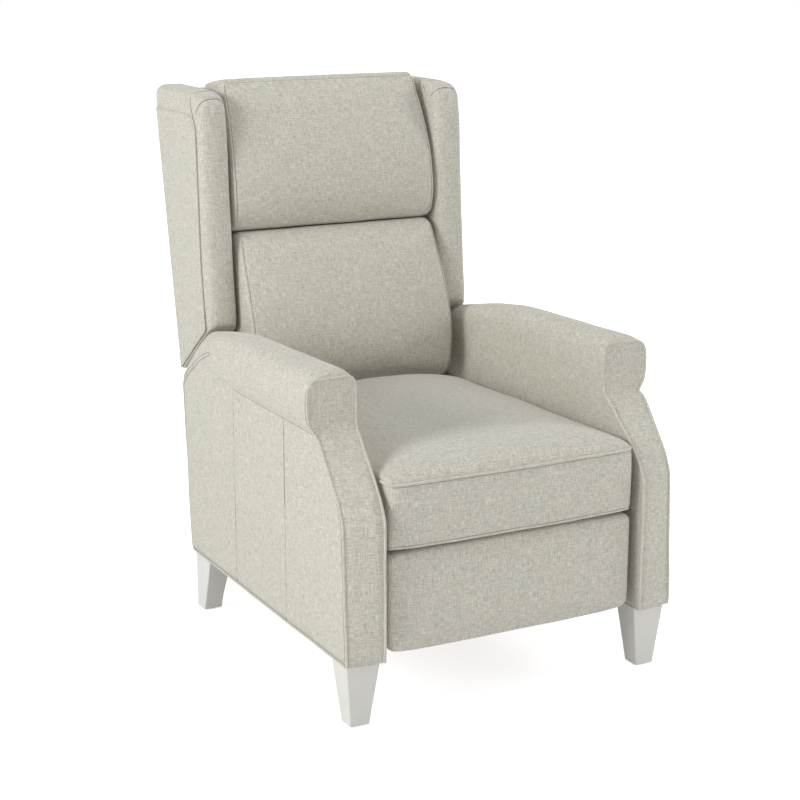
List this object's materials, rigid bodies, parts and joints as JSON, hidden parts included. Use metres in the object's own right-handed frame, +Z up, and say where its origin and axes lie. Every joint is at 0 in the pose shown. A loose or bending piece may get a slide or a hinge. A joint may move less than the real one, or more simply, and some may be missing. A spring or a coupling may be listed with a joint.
{
  "type": "recliner",
  "caption": "Upholstered wing recliner with rolled arms, tapered legs, a reclining back and a footrest that opens as the seat glides forward.",
  "frame": {"origin": "on the floor, under the middle of the bounding box of the closed chair", "axes": "+Z up, -Y the way the sitter faces, +X to the right of someone who looks at the chair's front"},
  "size_m": [0.7424, 1.006, 1.099],
  "materials": {
    "cover_fabric": "pale greige linen-look weave with slubs",
    "welt_fabric": "same cloth as the cover, over a cord",
    "foot_paint": "satin pale grey paint on wood",
    "glide_plastic": "dark moulded glide",
    "frame_wood": "plain sawn wood and plywood",
    "link_steel": "zinc-plated sheet steel",
    "fastener_steel": "zinc-plated steel",
    "spring_steel": "drawn spring wire",
    "slide_nylon": "natural nylon",
    "strap_webbing": "woven elastic webbing"
  },
  "bodies": {
    "base": {"arm_pad_l": "cover_fabric", "arm_pad_r": "cover_fabric", "arm_boards": "frame_wood", "arm_fronts": "cover_fabric", "arm_sides": "cover_fabric", "arm_welts": "welt_fabric", "feet_front": "foot_paint", "feet_rear": "foot_paint", "foot_glides": "glide_plastic", "foot_bolts": "fastener_steel", "cross_rails": "frame_wood", "rear_cover": "cover_fabric", "rail_screws": "fastener_steel", "glide_channels": "link_steel", "channel_bolts": "fastener_steel", "back_mounts": "link_steel", "back_pins": "fastener_steel", "pivot_washers": "slide_nylon"},
    "seat": {"seat_cushion": "cover_fabric", "seat_band": "cover_fabric", "seat_welts": "welt_fabric", "seat_rail_front": "frame_wood", "seat_rail_rear": "frame_wood", "seat_side_rails": "frame_wood", "seat_springs": "spring_steel", "seat_clips": "spring_steel", "side_plates": "link_steel", "plate_rivets": "fastener_steel", "plate_screws": "fastener_steel", "glide_shoes": "slide_nylon"},
    "main_links": {"main_links": "link_steel", "torque_tube": "link_steel", "main_rivets": "fastener_steel"},
    "guide_left": {"guide_link_l": "link_steel", "guide_rivet_l": "fastener_steel"},
    "guide_right": {"guide_link_r": "link_steel", "guide_rivet_r": "fastener_steel"},
    "carrier_left": {"carrier_link_l": "link_steel"},
    "carrier_right": {"carrier_link_r": "link_steel"},
    "long_left": {"long_link_l": "link_steel"},
    "long_right": {"long_link_r": "link_steel"},
    "footrest": {"rest_pad": "cover_fabric", "rest_board": "frame_wood", "rest_brackets": "link_steel", "bracket_rivets": "fastener_steel", "bracket_screws": "fastener_steel"},
    "back": {"lumbar_cushion": "cover_fabric", "head_cushion": "cover_fabric", "top_pad": "cover_fabric", "wing_pad_l": "cover_fabric", "wing_pad_r": "cover_fabric", "wing_boards": "frame_wood", "wing_panels": "cover_fabric", "wing_welts": "welt_fabric", "back_stiles": "frame_wood", "back_rails": "frame_wood", "back_straps": "strap_webbing", "back_panel": "cover_fabric", "back_brackets": "link_steel", "bracket_bolts": "fastener_steel"}
  },
  "joints": [
    {"name": "seat_glide", "type": "slide", "parent": "base", "child": "seat", "axis": [0, -1, 0], "range_m": [0, 0.075]},
    {"name": "back_recline", "type": "hinge", "parent": "base", "child": "back", "pos_m": [0, 0.16897, 0.38], "axis": [-1, 0, 0], "range_deg": [0, 32]},
    {"name": "main_links_swing", "type": "hinge", "parent": "seat", "child": "main_links", "pos_m": [0, -0.32104, 0.312], "axis": [-1, 0, 0], "range_deg": [0, 85]},
    {"name": "guide_left_swing", "type": "hinge", "parent": "seat", "child": "guide_left", "pos_m": [-0.241, -0.25604, 0.312], "axis": [-1, 0, 0], "range_deg": [0, 85]},
    {"name": "guide_right_swing", "type": "hinge", "parent": "seat", "child": "guide_right", "pos_m": [0.241, -0.25604, 0.312], "axis": [-1, 0, 0], "range_deg": [0, 85]},
    {"name": "carrier_left_turn", "type": "hinge", "parent": "main_links", "child": "carrier_left", "pos_m": [-0.241, -0.19603, 0.186], "axis": [1, 0, 0], "range_deg": [0, 85]},
    {"name": "carrier_right_turn", "type": "hinge", "parent": "main_links", "child": "carrier_right", "pos_m": [0.241, -0.19603, 0.186], "axis": [1, 0, 0], "range_deg": [0, 85]},
    {"name": "long_left_turn", "type": "hinge", "parent": "main_links", "child": "long_left", "pos_m": [-0.241, -0.21003, 0.227], "axis": [1, 0, 0], "range_deg": [0, 85]},
    {"name": "long_right_turn", "type": "hinge", "parent": "main_links", "child": "long_right", "pos_m": [0.241, -0.21003, 0.227], "axis": [1, 0, 0], "range_deg": [0, 85]},
    {"name": "footrest_turn", "type": "hinge", "parent": "carrier_right", "child": "footrest", "pos_m": [0, -0.39604, 0.27], "axis": [-1, 0, 0], "range_deg": [0, 85]}
  ],
  "couplings": [
    {"joint": "main_links_swing", "follows": "seat_glide", "rad_per_m": 19.78},
    {"joint": "guide_left_swing", "follows": "seat_glide", "rad_per_m": 19.78},
    {"joint": "guide_right_swing", "follows": "seat_glide", "rad_per_m": 19.78},
    {"joint": "carrier_left_turn", "follows": "seat_glide", "rad_per_m": 19.78},
    {"joint": "carrier_right_turn", "follows": "seat_glide", "rad_per_m": 19.78},
    {"joint": "long_left_turn", "follows": "seat_glide", "rad_per_m": 19.78},
    {"joint": "long_right_turn", "follows": "seat_glide", "rad_per_m": 19.78},
    {"joint": "footrest_turn", "follows": "seat_glide", "rad_per_m": 19.78}
  ]
}
